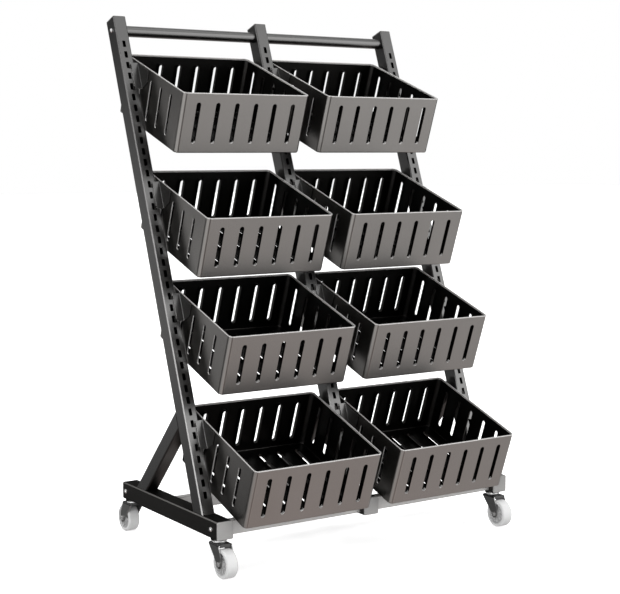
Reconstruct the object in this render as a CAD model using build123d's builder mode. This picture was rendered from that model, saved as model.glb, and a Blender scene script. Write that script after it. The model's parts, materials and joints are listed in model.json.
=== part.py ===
from build123d import *
import os
from math import cos, radians, sin

# Free-standing rack for fruit: three leaning uprights on base tubes carry eight slotted baskets in
# four tiers and two bays. X runs along the rack, Y from the shopper to the back, Z up. The origin is
# on the floor under the middle of the rack. Millimetres.

# Layout of the frame
bay_pitch = 480.0  # between neighbouring uprights
lean = 20.3  # degrees that the uprights lean back
base_height = 104.0  # underside of the base tubes above the floor

# Uprights
upright_width = 40.0
upright_depth = 50.0
upright_length = 1456.5  # front edge, from its foot to the cap
tube_wall = 2.0
slot_width = 10.0
slot_height = 20.0
slot_pitch = 33.0
slot_margin = 83.5  # top end of the tube to the middle of the first slot
slot_foot_margin = 50.0  # least height of the middle of the last slot above the foot

# Base tubes, lying front to back
base_side = 50.0
base_length = 560.0
base_reach = 87.0  # front end of the tube ahead of the upright's foot

# Braces between the uprights and the base tubes
brace_width = 40.0
brace_depth = 45.0
brace_slope = 47.0  # degrees from the floor
brace_foot = 363.5  # middle of its foot behind the upright's foot

# Tubes and beams that tie the three frames together
top_tube_diameter = 32.0
top_tube_wall = 1.5
top_tube_drop = 32.5  # its axis below the top end of the upright
beam_depth = 25.0
beam_height = 40.0
beam_wall = 1.5
rear_beam_back = 243.0  # middle of the second beam behind the upright's foot
end_plate = 5.0  # plate welded in the outer end of each bolted tube

# Plastic caps
cap_head = 5.0  # on the uprights
base_cap_head = 3.0
cap_plug = 6.0  # how far a cap's plug goes into its tube
plug_clearance = 0.2

# Cross bolts
bolt_diameter = 8.0
bolt_head_hex = 13.0  # across the flats
bolt_head_height = 5.0
bolt_clearance = 0.2
bolt_past_plate = 4.0  # bolt end beyond the plate that it screws into
thread_faces = 6  # sides that stand for the round of a thread and its hole
hexagon = 6  # sides of a bolt head or nut

# Baskets, folded from sheet
basket_width = 414.0
basket_depth = 372.0
basket_height = 176.0
basket_sheet = 2.0
basket_corner = 10.0  # the upright corners fold twice, with a strip cut this far into each wall
rim_slope = 19.6  # degrees that the rim falls towards the shopper
vent_width = 13.5
vent_length = 120.0
vent_pitch = 62.0
vent_margin = 27.5  # rim to the top of a wall slot
front_vents = 6
side_vents = 5
side_vent_shift = 9.5  # side slots stand this far behind the middle of the wall
floor_vent_length = 290.0
tier_count = 4
top_tier_slot = 4  # upright slot level with the middle of the top tier's hooks, counted from the top
slots_below_tiers = 5  # slots left free under the lowest tier

# Hook brackets on the basket sides
hook_sheet = 2.5
hook_length = 80.0  # of the flange along the upright
hook_reach = 76.0  # of the side plate along the rim
hook_front = 35.5  # front edge of the side plate
hook_below_rim = 5.0
hook_to_rear = 78.0  # flange to the basket's rear wall, along the rim
hook_flange_stop = 9.0  # inner edge of the flange from the middle of the upright
hook_blade_offset = 2.0  # nearer face of a hook blade from the middle of the upright
hook_neck = 10.0  # height of the blade where it passes the slot
hook_lip = 8.0  # how far the blade hangs down behind the slot
hook_lip_depth = 4.0
hook_clearance = 0.3  # to the front and rear of the upright's front wall
hook_seat = 0.2  # between the neck and the bottom of the slot

# Casters
stem_diameter = 12.0
stem_length = 14.0  # above the underside of the base tube
stem_nut_hex = 19.0
stem_nut_height = 10.0
race_diameter = 46.0
race_height = 11.0
pin_diameter = 10.0
pin_faces = 8  # sides that stand for the round of a pin and its hole
pin_head_hex = 14.0
pin_head_height = 3.0
swivel_gap = 0.3
fork_sheet = 2.5
fork_width = 43.0
crown_front = 20.0  # crown ahead of the swivel axis, away from the wheel
crown_rear = 22.0  # crown on the wheel's side of the swivel axis
fork_boss = 24.0  # width and height of the fork's lower ends
fork_boss_corner = 7.0
trail = 34.0  # wheel axle behind the swivel axis
wheel_diameter = 80.0
wheel_width = 34.0
axle_diameter = 8.0
axle_hex = 13.0  # across the flats of bolt head and nut
axle_hex_height = 5.0
running_clearance = 0.06
front_caster_inset = 31.0  # swivel axis from the front end of the base tube
rear_caster_inset = 19.0  # swivel axis from the rear end of the base tube

# Directions and levels that follow from the sizes
lean_rad = radians(lean)
slope_rad = radians(rim_slope)
tilt_rad = radians(rim_slope + lean)  # between the rim and a square to the upright
base_top = base_height + base_side
base_middle = base_height + base_side / 2
frame_x = {"left": -bay_pitch, "middle": 0.0, "right": bay_pitch}
bay_x = {"left": -bay_pitch / 2, "right": bay_pitch / 2}
outward = {"left": -1, "right": 1}
slot_count = 1 + int((upright_length - slot_margin - slot_foot_margin) / slot_pitch)
tier_step = (slot_count - slots_below_tiers - top_tier_slot) / (tier_count - 1)
tier_slots = [round(top_tier_slot + tier * tier_step) for tier in range(tier_count)]
bolt_hole = bolt_diameter / 2 + bolt_clearance
stem_hole = stem_diameter / 2 + bolt_clearance


def slot_level(number):
    """Middle of an upright slot, along the upright from its foot."""
    return upright_length - slot_margin - (number - 1) * slot_pitch


def rim_front(number):
    """Front edge of a basket's rim from the foot: ahead of the upright's face, and along the upright."""
    along_rim = basket_depth - hook_to_rear
    ahead = hook_clearance + along_rim * cos(tilt_rad) + hook_below_rim * sin(tilt_rad)
    level = slot_level(number) + hook_length / 2
    return ahead, level - along_rim * sin(tilt_rad) + hook_below_rim * cos(tilt_rad)


def back_of_foot(ahead, level):
    """Horizontal distance behind the foot of a point ahead of the upright's face."""
    return level * sin(lean_rad) - ahead * cos(lean_rad)


# The lowest rim and the rear floor edge of the top basket are the rack's front and back.
front_edge = back_of_foot(*rim_front(tier_slots[-1]))
rear_edge = back_of_foot(*rim_front(tier_slots[0]))
rear_edge += basket_depth * cos(slope_rad) + basket_height * sin(slope_rad)
foot_y = -(front_edge + rear_edge) / 2
base_front_y = foot_y - base_reach
base_rear_y = base_front_y + base_length
caster_y = {"front": base_front_y + front_caster_inset, "rear": base_rear_y - rear_caster_inset}
trail_way = {"front": -1, "rear": 1}  # the front wheels trail forwards and the rear ones back


def upright_plane(x):
    """Foot of an upright's front face: local Y goes back through the tube and local Z up along it."""
    return Plane(origin=(x, foot_y, base_top), x_dir=(1, 0, 0), z_dir=(0, sin(lean_rad), cos(lean_rad)))


def basket_plane(x, number):
    """Middle of a basket's front rim, with local Y along the rim to the back and local Z square to it."""
    ahead, level = rim_front(number)
    rim_middle = upright_plane(x).from_local_coords((0, -ahead, level))
    return Plane(origin=rim_middle, x_dir=(1, 0, 0), z_dir=(0, -sin(slope_rad), cos(slope_rad)))


def write(piece, name, *places):
    """Write one node with the piece at each of its places."""
    with BuildPart() as node:
        with Locations(*places):
            add(piece)
    node.part.label = name
    export_step(node.part, f"parts/{name}.step")


os.makedirs("parts", exist_ok=True)
as_modelled = Plane.XY  # for pieces that are drawn where they stand

# Uprights: box tubes cut level at the foot, with a row of hook slots down the front
top_tube_level = upright_length - top_tube_drop
foot_cut = Plane(origin=(0, 0, 0), z_dir=(0, -sin(lean_rad), cos(lean_rad)))
for name, x in frame_x.items():
    with BuildPart() as upright:
        with BuildSketch():
            with Locations((0, upright_depth / 2)):
                Rectangle(upright_width, upright_depth)
                Rectangle(upright_width - 2 * tube_wall, upright_depth - 2 * tube_wall, mode=Mode.SUBTRACT)
        extrude(amount=upright_length)
        split(bisect_by=foot_cut, keep=Keep.TOP)
        row_middle = slot_level((slot_count + 1) / 2)
        with BuildSketch(Plane.XZ):
            with Locations((0, row_middle)):
                with GridLocations(slot_width, slot_pitch, 1, slot_count):
                    Rectangle(slot_width, slot_height)
        extrude(amount=-tube_wall, mode=Mode.SUBTRACT)
        if name in outward:
            with BuildSketch(Plane.YZ):
                with Locations((upright_depth / 2, top_tube_level)):
                    RegularPolygon(bolt_hole, thread_faces, major_radius=False)
            extrude(amount=upright_width / 2, both=True, mode=Mode.SUBTRACT)
    write(upright.part, f"upright_{name}", upright_plane(x))

with BuildPart() as upright_cap:
    with BuildSketch():
        Rectangle(upright_width, upright_depth)
    extrude(amount=cap_head)
    plug_width = upright_width - 2 * (tube_wall + plug_clearance)
    plug_depth = upright_depth - 2 * (tube_wall + plug_clearance)
    with BuildSketch():
        Rectangle(plug_width, plug_depth)
    extrude(amount=-cap_plug)
cap_places = []
for x in frame_x.values():
    cap_middle = upright_plane(x).from_local_coords((0, upright_depth / 2, upright_length))
    cap_places.append(Plane(origin=cap_middle, x_dir=(1, 0, 0), z_dir=upright_plane(x).z_dir))
write(upright_cap.part, "upright_caps", *cap_places)

# Base tubes: the outer two have holes for the caster stems and the cross bolts
for name, x in frame_x.items():
    with BuildPart() as base_tube:
        with BuildSketch(Plane(origin=(x, base_front_y, base_middle), x_dir=(1, 0, 0), z_dir=(0, 1, 0))):
            Rectangle(base_side, base_side)
            Rectangle(base_side - 2 * tube_wall, base_side - 2 * tube_wall, mode=Mode.SUBTRACT)
        extrude(amount=base_length)
        if name in outward:
            with BuildSketch(Plane.XY.offset(base_height)):
                with Locations(*[(x, y) for y in caster_y.values()]):
                    RegularPolygon(stem_hole, thread_faces, major_radius=False)
            extrude(amount=tube_wall, mode=Mode.SUBTRACT)
            with BuildSketch(Plane.YZ.offset(x)):
                with Locations((caster_y["front"], base_middle)):
                    RegularPolygon(bolt_hole, thread_faces, major_radius=False)
            extrude(amount=base_side / 2, both=True, mode=Mode.SUBTRACT)
            with BuildSketch(Plane.YZ.offset(x)):
                with Locations((caster_y["rear"], base_middle)):
                    RegularPolygon(bolt_hole, thread_faces, major_radius=False)
            extrude(amount=outward[name] * base_side / 2, mode=Mode.SUBTRACT)
    write(base_tube.part, f"base_tube_{name}", as_modelled)

with BuildPart() as base_cap:
    with BuildSketch():
        Rectangle(base_side, base_side)
    extrude(amount=base_cap_head)
    plug_side = base_side - 2 * (tube_wall + plug_clearance)
    with BuildSketch():
        Rectangle(plug_side, plug_side)
    extrude(amount=-cap_plug)
base_cap_places = []
for x in frame_x.values():
    for y, way in ((base_front_y, -1), (base_rear_y, 1)):
        base_cap_places.append(Plane(origin=(x, y, base_middle), x_dir=(1, 0, 0), z_dir=(0, way, 0)))
write(base_cap.part, "base_caps", *base_cap_places)

# Braces: box tubes cut level on the base tube and mitred against the back of the upright
brace_rad = radians(brace_slope)
for name, x in frame_x.items():
    upright_back = Plane(
        origin=upright_plane(x).from_local_coords((0, upright_depth, 0)),
        x_dir=(1, 0, 0),
        z_dir=upright_plane(x).y_dir,
    )
    brace_axis = Plane(
        origin=(x, foot_y + brace_foot, base_top),
        x_dir=(1, 0, 0),
        z_dir=(0, -cos(brace_rad), sin(brace_rad)),
    )
    with BuildPart() as brace:
        with BuildSketch(brace_axis):
            Rectangle(brace_width, brace_depth)
            Rectangle(brace_width - 2 * tube_wall, brace_depth - 2 * tube_wall, mode=Mode.SUBTRACT)
        extrude(amount=base_length, both=True)  # longer than the brace at both ends
        split(bisect_by=Plane.XY.offset(base_top), keep=Keep.TOP)
        split(bisect_by=upright_back, keep=Keep.TOP)
    write(brace.part, f"brace_{name}", as_modelled)

# Top tubes: welded to the middle upright and bolted through the outer ones
top_tube_radius = top_tube_diameter / 2
top_tube_length = bay_pitch - upright_width
for name, x in bay_x.items():
    tube_axis = upright_plane(x).from_local_coords((0, upright_depth / 2, top_tube_level))
    outer_end = tube_axis + Vector(outward[name] * top_tube_length / 2, 0, 0)
    with BuildPart() as top_tube:
        with BuildSketch(Plane(origin=outer_end, z_dir=(-outward[name], 0, 0))):
            Circle(top_tube_radius)
            Circle(top_tube_radius - top_tube_wall, mode=Mode.SUBTRACT)
        extrude(amount=top_tube_length)
        with BuildSketch(Plane(origin=outer_end, z_dir=(-outward[name], 0, 0))):
            Circle(top_tube_radius)
            RegularPolygon(bolt_hole, thread_faces, major_radius=False, mode=Mode.SUBTRACT)
        extrude(amount=end_plate)
    write(top_tube.part, f"top_tube_{name}", as_modelled)

# Beams between the base tubes: the front ones are bolted through the outer base tubes
beam_length = bay_pitch - base_side
for name, x in bay_x.items():
    outer_end = x + outward[name] * beam_length / 2
    front_end = Plane(
        origin=(outer_end, caster_y["front"], base_middle), x_dir=(0, 1, 0), z_dir=(-outward[name], 0, 0)
    )
    with BuildPart() as front_beam:
        with BuildSketch(front_end):
            Rectangle(beam_depth, beam_height)
            Rectangle(beam_depth - 2 * beam_wall, beam_height - 2 * beam_wall, mode=Mode.SUBTRACT)
        extrude(amount=beam_length)
        with BuildSketch(front_end):
            Rectangle(beam_depth, beam_height)
            RegularPolygon(bolt_hole, thread_faces, major_radius=False, mode=Mode.SUBTRACT)
        extrude(amount=end_plate)
    write(front_beam.part, f"front_beam_{name}", as_modelled)

    with BuildPart() as rear_beam:
        with BuildSketch(Plane.YZ.offset(x)):
            with Locations((foot_y + rear_beam_back, base_middle)):
                Rectangle(beam_depth, beam_height)
                Rectangle(beam_depth - 2 * beam_wall, beam_height - 2 * beam_wall, mode=Mode.SUBTRACT)
        extrude(amount=beam_length / 2, both=True)
    write(rear_beam.part, f"rear_beam_{name}", as_modelled)


def cross_bolt(length):
    """Bolt along local Z with its head standing on the plane."""
    with BuildPart() as bolt:
        with BuildSketch():
            RegularPolygon(bolt_head_hex / 2, hexagon, major_radius=False)
        extrude(amount=bolt_head_height)
        with BuildSketch():
            RegularPolygon(bolt_diameter / 2, thread_faces)
        extrude(amount=-length)
    return bolt.part


# Cross bolts at the top tubes, the front beams and the rear ends of the base tubes
past_wall = end_plate + bolt_past_plate
top_bolt_places = []
front_bolt_places = []
rear_bolt_places = []
for name, way in outward.items():
    out_x = frame_x[name] + way * base_side / 2
    top_axis = upright_plane(frame_x[name]).from_local_coords((0, upright_depth / 2, top_tube_level))
    top_head = top_axis + Vector(way * upright_width / 2, 0, 0)
    top_bolt_places.append(Plane(origin=top_head, z_dir=(way, 0, 0)))
    front_bolt_places.append(Plane(origin=(out_x, caster_y["front"], base_middle), z_dir=(way, 0, 0)))
    rear_bolt_places.append(Plane(origin=(out_x, caster_y["rear"], base_middle), z_dir=(way, 0, 0)))
write(cross_bolt(upright_width + past_wall), "top_tube_bolts", *top_bolt_places)
write(cross_bolt(base_side + past_wall), "front_beam_bolts", *front_bolt_places)
write(cross_bolt(base_side - tube_wall), "rear_base_bolts", *rear_bolt_places)

# Nuts that hold the caster stems inside the base tubes
with BuildPart() as stem_nut:
    with BuildSketch():
        RegularPolygon(stem_nut_hex / 2, hexagon, major_radius=False)
        RegularPolygon(stem_hole, thread_faces, major_radius=False, mode=Mode.SUBTRACT)
    extrude(amount=stem_nut_height)
corners = [(side, end) for side in outward for end in caster_y]
nut_places = [(frame_x[side], caster_y[end], base_height + tube_wall) for side, end in corners]
write(stem_nut.part, "caster_nuts", *nut_places)

# Baskets: open boxes of sheet with folded corners and rows of slots in every wall and in the floor
with BuildPart() as basket:
    with BuildSketch() as outline:
        with Locations((0, basket_depth / 2)):
            Rectangle(basket_width, basket_depth)
        chamfer(outline.vertices(), basket_corner)
    extrude(amount=-basket_height)
    offset(amount=-basket_sheet, openings=basket.faces().sort_by(Axis.Z)[-1])
    vent_level = -vent_margin - vent_length / 2
    with BuildSketch(Plane.XZ):
        with Locations((0, vent_level)):
            with GridLocations(vent_pitch, vent_length, front_vents, 1):
                Rectangle(vent_width, vent_length)
    extrude(amount=-basket_depth, mode=Mode.SUBTRACT)
    with BuildSketch(Plane.YZ):
        with Locations((basket_depth / 2 + side_vent_shift, vent_level)):
            with GridLocations(vent_pitch, vent_length, side_vents, 1):
                Rectangle(vent_width, vent_length)
    extrude(amount=basket_width / 2, both=True, mode=Mode.SUBTRACT)
    with BuildSketch(Plane.XY.offset(-basket_height)):
        with Locations((0, basket_depth / 2)):
            with GridLocations(vent_pitch, vent_length, front_vents, 1):
                Rectangle(vent_width, floor_vent_length)
    extrude(amount=basket_sheet, mode=Mode.SUBTRACT)
for bay, x in bay_x.items():
    for tier, number in enumerate(tier_slots, 1):
        write(basket.part, f"basket_{bay}_{tier}", basket_plane(x, number))

# Hook brackets: a plate on each side of the basket, folded across the upright's face, with two blades
# that drop behind the slots. Local axes as on an upright, at the level of the middle slot.
plate_top = (-hook_clearance, hook_length / 2)
plate_nose = (plate_top[0] - hook_reach * cos(tilt_rad), plate_top[1] - hook_reach * sin(tilt_rad))
plate_chin = (plate_nose[0] + hook_front * sin(tilt_rad), plate_nose[1] - hook_front * cos(tilt_rad))
plate_low = (-hook_clearance, -hook_length / 2)
blade_x = -bay_pitch / 2 + hook_blade_offset
flange_x = -bay_pitch / 2 + hook_flange_stop
wall_x = -basket_width / 2
lip_front = tube_wall + hook_clearance
with BuildPart() as hooks:
    with BuildSketch(Plane.YZ.offset(wall_x)):
        with BuildLine():
            Polyline(plate_top, plate_nose, plate_chin, plate_low, close=True)
        make_face()
    extrude(amount=-hook_sheet)
    with BuildSketch(Plane.XZ.offset(hook_clearance)):
        with Locations(((flange_x + wall_x) / 2, 0)):
            Rectangle(wall_x - flange_x, hook_length)
    extrude(amount=hook_sheet)
    for slot_z in (-slot_pitch, slot_pitch):
        neck_low = slot_z - slot_height / 2 + hook_seat
        with BuildSketch(Plane.XZ.offset(hook_clearance)):
            with Locations(((blade_x + flange_x) / 2, neck_low + hook_neck / 2)):
                Rectangle(flange_x - blade_x, hook_neck)
        extrude(amount=hook_sheet)
        with BuildSketch(Plane.YZ.offset(blade_x)):
            with BuildLine():
                Polyline(
                    (-hook_clearance - hook_sheet, neck_low),
                    (lip_front, neck_low),
                    (lip_front, neck_low - hook_lip),
                    (lip_front + hook_lip_depth, neck_low - hook_lip),
                    (lip_front + hook_lip_depth, neck_low + hook_neck),
                    (-hook_clearance - hook_sheet, neck_low + hook_neck),
                    close=True,
                )
            make_face()
        extrude(amount=hook_sheet)
    mirror(about=Plane.YZ)
for bay, x in bay_x.items():
    for tier, number in enumerate(tier_slots, 1):
        hook_place = upright_plane(x).offset(slot_level(number))
        write(hooks.part, f"hooks_{bay}_{tier}", hook_place)

# Casters, modelled about the swivel axis with the wheel trailing along +Y. The stems carry the ball
# race and the pin that the fork turns on, and the axle bolt is clamped in the fork.
race_low = base_height - race_height
crown_top = race_low - swivel_gap
crown_low = crown_top - fork_sheet
with BuildPart() as stem:
    with BuildSketch(Plane.XY.offset(base_height)):
        RegularPolygon(stem_diameter / 2, thread_faces)
    extrude(amount=stem_length)
    with BuildSketch(Plane.XY.offset(base_height)):
        Circle(race_diameter / 2)
    extrude(amount=-race_height)
    with BuildSketch(Plane.XY.offset(race_low)):
        RegularPolygon(pin_diameter / 2, pin_faces)
    extrude(amount=-(fork_sheet + 2 * swivel_gap))
    with BuildSketch(Plane.XY.offset(crown_low - swivel_gap)):
        RegularPolygon(pin_head_hex / 2, hexagon, major_radius=False)
    extrude(amount=-pin_head_height)
write(stem.part, "caster_stems", *[(frame_x[side], caster_y[end], 0) for side, end in corners])

wheel_radius = wheel_diameter / 2
boss_low = wheel_radius - fork_boss / 2
axle_hole = axle_diameter / 2 + running_clearance
axle_plane = Plane(origin=(-fork_width / 2, trail, wheel_radius), z_dir=(1, 0, 0))
with BuildPart() as fork:
    with BuildSketch(Plane.YZ) as leg:
        with BuildLine():
            Polyline(
                (-crown_front, crown_low),
                (-crown_front, crown_top),
                (crown_rear, crown_top),
                (trail + fork_boss / 2, wheel_radius),
                (trail + fork_boss / 2, boss_low),
                (trail - fork_boss / 2, boss_low),
                (trail - fork_boss / 2, wheel_radius),
                close=True,
            )
        make_face()
        chamfer(leg.vertices().group_by(Axis.Y)[0], fork_boss_corner)
    extrude(amount=fork_width / 2, both=True)
    with BuildSketch(Plane.XZ):
        with Locations((0, crown_low / 2)):
            Rectangle(fork_width - 2 * fork_sheet, crown_low)
    extrude(amount=wheel_diameter, both=True, mode=Mode.SUBTRACT)
    with BuildSketch(Plane.XY.offset(crown_low)):
        RegularPolygon(pin_diameter / 2 + running_clearance, pin_faces, major_radius=False)
    extrude(amount=fork_sheet, mode=Mode.SUBTRACT)
    with BuildSketch(axle_plane, axle_plane.offset(fork_width + axle_hex_height)):
        RegularPolygon(axle_hex / 2, hexagon, major_radius=False)
    extrude(amount=-axle_hex_height)
    with BuildSketch(axle_plane):
        RegularPolygon(axle_diameter / 2, pin_faces)
    extrude(amount=fork_width)

with BuildPart() as wheel:
    with BuildSketch(axle_plane.offset(fork_width / 2)):
        Circle(wheel_radius)
        RegularPolygon(axle_hole, pin_faces, major_radius=False, mode=Mode.SUBTRACT)
    extrude(amount=wheel_width / 2, both=True)

for side, end in corners:
    swivel = Plane(
        origin=(frame_x[side], caster_y[end], 0), x_dir=(trail_way[end], 0, 0), z_dir=(0, 0, 1)
    )
    write(fork.part, f"caster_fork_{end}_{side}", swivel)
    write(wheel.part, f"caster_wheel_{end}_{side}", swivel)
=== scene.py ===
import json
from math import cos, degrees, pi, radians, sin, tan

import bmesh
import bpy
from mathutils import Matrix, Vector


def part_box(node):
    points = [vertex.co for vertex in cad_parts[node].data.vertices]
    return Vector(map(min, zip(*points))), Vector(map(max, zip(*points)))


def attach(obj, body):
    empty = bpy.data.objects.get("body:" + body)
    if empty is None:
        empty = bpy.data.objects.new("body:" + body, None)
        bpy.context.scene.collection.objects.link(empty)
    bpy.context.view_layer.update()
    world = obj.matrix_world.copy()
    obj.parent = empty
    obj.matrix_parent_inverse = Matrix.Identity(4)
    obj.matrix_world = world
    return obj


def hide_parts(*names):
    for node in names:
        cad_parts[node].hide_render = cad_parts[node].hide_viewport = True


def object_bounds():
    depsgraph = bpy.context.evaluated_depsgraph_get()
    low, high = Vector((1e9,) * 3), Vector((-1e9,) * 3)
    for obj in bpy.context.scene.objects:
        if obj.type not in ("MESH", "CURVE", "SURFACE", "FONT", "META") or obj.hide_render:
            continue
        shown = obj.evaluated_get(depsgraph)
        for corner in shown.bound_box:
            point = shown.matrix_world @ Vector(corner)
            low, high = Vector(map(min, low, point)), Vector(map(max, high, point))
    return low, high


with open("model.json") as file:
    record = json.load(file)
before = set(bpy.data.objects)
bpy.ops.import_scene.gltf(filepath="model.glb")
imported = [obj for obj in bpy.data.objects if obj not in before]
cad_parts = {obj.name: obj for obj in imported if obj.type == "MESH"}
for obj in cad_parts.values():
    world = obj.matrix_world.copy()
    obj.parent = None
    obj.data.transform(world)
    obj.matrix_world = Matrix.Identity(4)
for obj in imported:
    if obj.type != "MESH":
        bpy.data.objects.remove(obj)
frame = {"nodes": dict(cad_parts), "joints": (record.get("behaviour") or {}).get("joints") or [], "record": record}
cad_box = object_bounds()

# Leaning fruit rack: slotted uprights, hook-on sheet baskets and casters. Metres, in the frame's axes:
# X along the rack, Y from the shopper to the back, Z up. Places are read from the frame's nodes, joints
# and mounts, and the values below are the small forms that the nodes leave plain.

MM = 0.001

# Mesh work
SAME_POINT = 0.01 * MM
EASED_ANGLE = radians(35)  # sharper edges are eased
EASED_STEPS = 2
ONE_SURFACE = cos(radians(50))  # faces that turn less than this shade as one surface
ONE_PLANE = cos(radians(1))
MINOR_SHARE = 0.3  # smaller neighbours don't tilt a normal
BACK, CUT_EDGE = 1, 2  # finishes of a sheet, counted on from that of its front
# Dark lips take the painted shade, light lips the painted highlight, folds a painted highlight in front
DARK_LIP, LIGHT_LIP, FOLD = 1, 4, 7  # finishes of a basket's lips and folds
# Bracket plates take a lighter, painted-light copy of the paint; casters' crowns take a painted-shade zinc
BRACKET_PLATE = CROWN = 3
CORNER_STEPS = 4
HOLE_STEPS = 8
BEND_STEPS = 5
ROUND_STEPS = 48
SMALL_STEPS = 24

# Sheet baskets
SHEET = 2.0 * MM
SHEET_EDGE = 0.5 * MM
CORNER_CUT = 8.5 * MM
FOLD_RADIUS = 9.0 * MM
FOLD_TURN = 45.0  # degrees, two folds to a corner
FOLD_STEPS = 5
FLOOR_FOLD = 4.0 * MM
FLOOR_FOLD_STEPS = 3
HEM_DEPTH = 5.0 * MM
HEM_CURL = 0.5 * MM
HEM_STEPS = 8
HEM_UNDERSIDE = (  # how far in, in sheet thicknesses, and how far below the rim
    (1.9, HEM_DEPTH), (1.5, HEM_DEPTH + HEM_CURL), (0.9, HEM_DEPTH + HEM_CURL), (0.5, HEM_DEPTH),
    (0.5, 1.5 * SHEET),
)
VENT_WIDTH = 13.5 * MM
VENT_LENGTH = 120.0 * MM
VENT_PITCH = 62.0 * MM
VENT_MARGIN = 27.5 * MM
FRONT_VENTS = 6
SIDE_VENTS = 5
SIDE_VENT_SHIFT = 9.5 * MM
FLOOR_VENT_LENGTH = 290.0 * MM
# Lips: the dark finish is painted shade, the light one a painted highlight
FRONT_LIP = (8.0 * MM, DARK_LIP, LIGHT_LIP)  # a vent's lip: its depth, its finish and that of its lower end
REAR_LIP = (11.5 * MM, DARK_LIP, DARK_LIP)
LEFT_LIP = (3.0 * MM, LIGHT_LIP, LIGHT_LIP)
RIGHT_LIP = (4.0 * MM, DARK_LIP, DARK_LIP)
FLOOR_LIP = (8.6 * MM, DARK_LIP, DARK_LIP)

# Tubes and caps
TUBE_WALL = 2.0 * MM
TUBE_CORNER = 4.0 * MM
TUBE_EDGE = 0.4 * MM
ROLLED_CORNER = (0.0, 0.17, 0.83, 1.0)  # shares of a corner's turn: its middle is nearly flat
BEAM_CORNER = 3.0 * MM
BEAM_WALL = 1.5 * MM
BRACE_SLOPE = radians(47.0)
PIPE_WALL = 1.5 * MM
PIPE_EDGE = 0.3 * MM
PIPE_STEPS = 64
SLOT_WIDTH = 10.0 * MM
SLOT_HEIGHT = 20.0 * MM
SLOT_CORNER = 1.6 * MM
SLOT_CORNER_STEPS = 2
SLOT_PITCH = 33.0 * MM
SLOT_MARGIN = 83.5 * MM
SLOT_COUNT = 41
CAP_EDGE = 2.2 * MM
CAP_EDGE_STEPS = 4
CAP_CORNER = 0.5 * MM  # the least radius that the rolled edge leaves
CAP_CROWN = 0.5 * MM
CAP_FLAT = 0.5  # share of the top inside the crown

# Bolts and nuts
BOLT_HEAD = 5.0 * MM
BUTTON_ROLL = radians(80)
BUTTON_STEPS = 4
BUTTON_FLAT = 0.35  # shares of a head's radius
BUTTON_SOCKET = 0.42
SOCKET_MOUTH = 0.98  # shares of a head's height
SOCKET_BOTTOM = 0.45
NUT_HEX = 13.0 * MM
NUT_HEIGHT = 5.0 * MM
NUT_SIDES = 6
NUT_EDGE = 0.3 * MM
NUT_PROFILE = ((1.0, 0.0), (1.0, 0.8), (0.93, 1.0), (0.6, 1.0), (0.55, 1.12))  # shares of its size and height

# Hook brackets
HOOK_SHEET = 2.5 * MM
HOOK_BEND = 4.0 * MM
HOOK_REACH = 76.0 * MM
HOOK_FRONT = 35.5 * MM
HOOK_GAP = 0.3 * MM
HOOK_FLANGE_STOP = 9.0 * MM
HOOK_BLADE_OFFSET = 2.0 * MM
HOOK_NECK = 10.0 * MM
HOOK_LIP = 8.0 * MM
HOOK_LIP_DEPTH = 4.0 * MM
HOOK_SEAT = 0.2 * MM
HOOK_LENGTH = 80.0 * MM
BLADE_EDGE = 0.3 * MM

# Casters
FORK_SHEET = 2.5 * MM
FORK_EDGE = 0.5 * MM
FORK_BEND = 5.0 * MM
FORK_HALF = 21.5 * MM
FORK_BOSS = 12.0 * MM
FORK_BOSS_STEPS = 10
FORK_BELLY = (0.9, 1.6)  # behind the axle and above it, in sizes of the boss
CROWN_FRONT = 20.0 * MM
CROWN_REAR = 32.0 * MM
CROWN_LIP = 9.0 * MM
RACE_RADIUS = 20.0 * MM
RACE_GAP = 0.3 * MM
RACE_BARREL = (  # shares of the race's radius and of the height under the base tube
    (0.84, 0.0), (0.95, 0.05), (1.0, 0.16), (1.0, 0.5), (0.95, 0.58), (0.84, 0.6),
)
NECK_RADIUS = 23.0 * MM
NECK_FOOT = 0.59
PIN_HEAD = 7.0 * MM
PIN_CROWN = ((0.45, 0.0), (0.86, 0.1), (1.0, 0.43))  # shares of the pin head's radius
PIN_SHANK = 0.7

# Wheels
WHEEL_STEPS = 72
AXLE_RADIUS = 4.0 * MM
TREAD_SHOULDER = 5.0 * MM
TREAD_DEPTH = 9.0 * MM
TREAD_SEAT = 4.0 * MM
CORE_EDGE = 0.4 * MM
CORE_INSET = 3.0 * MM
WEB_INSET = 8.0 * MM
HUB_RADIUS = 12.0 * MM
HUB_BORE = AXLE_RADIUS + 1.0 * MM
HUB_FACE = HUB_RADIUS - 2.0 * MM
HUB_FOOT = HUB_RADIUS + 1.0 * MM
HUB_RISE = 3.0 * MM
RIM_FOOT = 4.0 * MM
RIM_FACE = 3.0 * MM
WHEEL_RIBS = 10
RIB_ROOT = HUB_RADIUS - 1.0 * MM
RIB_ROOT_HALF = 1.4 * MM
RIB_END = 2.0 * MM
RIB_END_HALF = 1.1 * MM
RIB_INSET = 1.0 * MM

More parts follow.
